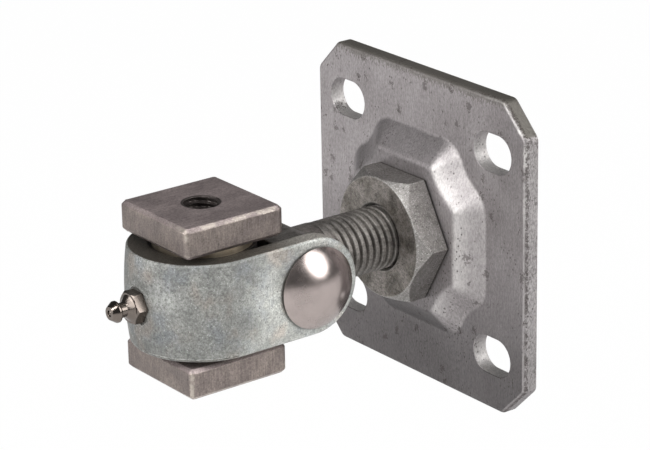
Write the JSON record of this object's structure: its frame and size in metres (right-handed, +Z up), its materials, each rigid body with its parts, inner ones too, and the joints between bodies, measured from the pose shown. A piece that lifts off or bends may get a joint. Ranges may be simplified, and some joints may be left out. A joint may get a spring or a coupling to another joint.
{
  "type": "adjustable gate hinge",
  "caption": "Adjustable gate hinge: square mounting plate with a captive nut, a threaded rod, and a greased pivot between square weld-on blocks.",
  "frame": {"origin": "middle of the mounting plate's back face, on the threaded rod's axis", "axes": "+X out from the post along the threaded rod, +Z up along the gate pivot, +Y across the plate"},
  "size_m": [0.1187, 0.1, 0.1],
  "materials": {
    "plate_steel": "dull zinc-grey sheet with dark specks and worn bright edges",
    "nut_steel": "turned steel, dull olive-grey face and brighter flats",
    "washer_steel": "dull zinc-plated steel",
    "spring_steel": "dark oiled spring steel",
    "rod_steel": "dark steel with brighter thread crests",
    "galvanised_strap": "matt galvanised steel with a fine speckle",
    "polished_rivet": "polished plated steel with a warm tint",
    "barrel_steel": "dark oiled steel",
    "bush_bronze": "dull golden bronze",
    "pin_steel": "ground steel",
    "block_steel": "bare drawn steel, warm grey, with worn edges",
    "nipple_plating": "polished plated steel with a warm tint"
  },
  "bodies": {
    "post_plate": {"mounting_plate": "plate_steel"},
    "nut": {"adjusting_nut": "nut_steel", "nut_thrust_washer": "washer_steel", "nut_retaining_ring": "spring_steel"},
    "rod": {"threaded_rod": "rod_steel", "strap": "galvanised_strap", "rivet": "polished_rivet", "pivot_barrel": "barrel_steel", "upper_bush": "bush_bronze", "lower_bush": "bush_bronze", "nipple_body": "nipple_plating", "nipple_ball": "nipple_plating", "nipple_spring": "spring_steel"},
    "gate_blocks": {"pivot_pin": "pin_steel", "upper_block": "block_steel", "lower_block": "block_steel"}
  },
  "joints": [
    {"name": "rod_slide", "type": "slide", "parent": "post_plate", "child": "rod", "axis": [1, 0, 0], "range_m": [-0.02, 0.0075]},
    {"name": "nut_turn", "type": "hinge", "parent": "post_plate", "child": "nut", "pos_m": [0, 0, 0], "axis": [1, 0, 0], "range_deg": [-1081, 2881]},
    {"name": "gate_pivot", "type": "hinge", "parent": "rod", "child": "gate_blocks", "pos_m": [0.0857, 0, 0], "axis": [0, 0, 1], "continuous": true}
  ],
  "couplings": [
    {"joint": "nut_turn", "follows": "rod_slide", "rad_per_m": -2513.3}
  ]
}
